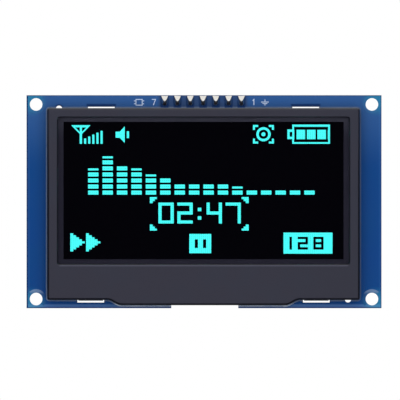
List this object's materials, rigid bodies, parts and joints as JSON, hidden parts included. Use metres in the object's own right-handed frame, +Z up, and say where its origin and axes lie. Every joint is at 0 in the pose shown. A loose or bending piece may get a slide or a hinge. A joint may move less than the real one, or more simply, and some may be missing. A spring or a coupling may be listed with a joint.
{
  "type": "oled display module",
  "caption": "Small lit OLED dot-matrix display held on a blue driver board by a clip-on plastic frame, with a pin header on the back along the top edge.",
  "frame": {"origin": "centre of the four mounting holes, on the back face of the circuit board", "axes": "+X to the right seen from the screen side, +Z up, and the screen faces -Y; the header's pins point along +Y"},
  "size_m": [0.0706, 0.0135, 0.0424],
  "materials": {
    "board_blue": "glossy blue solder mask over glass-fibre board",
    "board_ink": "thin screen-printed white ink",
    "frame_plastic": "fine-textured moulded plastic",
    "polarizer": "smooth dark polarizing film",
    "panel_glass": "clear polished glass",
    "cover_glass": "clear glass, frosted in its etched pocket",
    "drying_film": "matt white film",
    "dark_field": "smooth black",
    "lit_dots": "glowing cyan",
    "silicon": "polished silicon",
    "flex_amber": "amber polyimide over copper tracks",
    "solder": "bright tin solder",
    "foam_tape": "closed-cell foam",
    "header_plastic": "moulded nylon",
    "pin_gold": "flash gold plating",
    "ferrite": "matt sintered ferrite",
    "copper_wire": "enamelled copper wire",
    "package_black": "moulded epoxy with tinned leads",
    "capacitor_tan": "sintered ceramic with tinned ends",
    "resistor_black": "glazed ceramic with tinned ends"
  },
  "bodies": {
    "root": {"circuit_board": "board_blue", "board_print": "board_ink", "front_frame": "frame_plastic", "polarizer_film": "polarizer", "front_glass": "panel_glass", "cover_glass": "cover_glass", "drying_film": "drying_film", "emitter_panel": "dark_field", "lit_dots": "lit_dots", "driver_chip": "silicon", "flex_cable": "flex_amber", "flex_solder": "solder", "foam_tape_1": "foam_tape", "foam_tape_2": "foam_tape", "header_body": "header_plastic", "boost_inductor": "ferrite", "inductor_coil": "copper_wire", "boost_controller": "package_black", "schottky_diode": "package_black", "voltage_regulator": "package_black", "header_pin_1": "pin_gold", "header_pin_2": "pin_gold", "header_pin_3": "pin_gold", "header_pin_4": "pin_gold", "header_pin_5": "pin_gold", "header_pin_6": "pin_gold", "header_pin_7": "pin_gold", "solder_joint_1": "solder", "solder_joint_2": "solder", "solder_joint_3": "solder", "solder_joint_4": "solder", "solder_joint_5": "solder", "solder_joint_6": "solder", "solder_joint_7": "solder", "capacitor_1": "capacitor_tan", "capacitor_2": "capacitor_tan", "capacitor_3": "capacitor_tan", "capacitor_4": "capacitor_tan", "capacitor_5": "capacitor_tan", "capacitor_6": "capacitor_tan", "capacitor_7": "capacitor_tan", "capacitor_8": "capacitor_tan", "resistor_1": "resistor_black", "resistor_2": "resistor_black", "resistor_3": "resistor_black", "resistor_4": "resistor_black", "resistor_5": "resistor_black", "resistor_6": "resistor_black", "resistor_7": "resistor_black", "resistor_8": "resistor_black", "resistor_9": "resistor_black", "resistor_10": "resistor_black"}
  },
  "joints": []
}
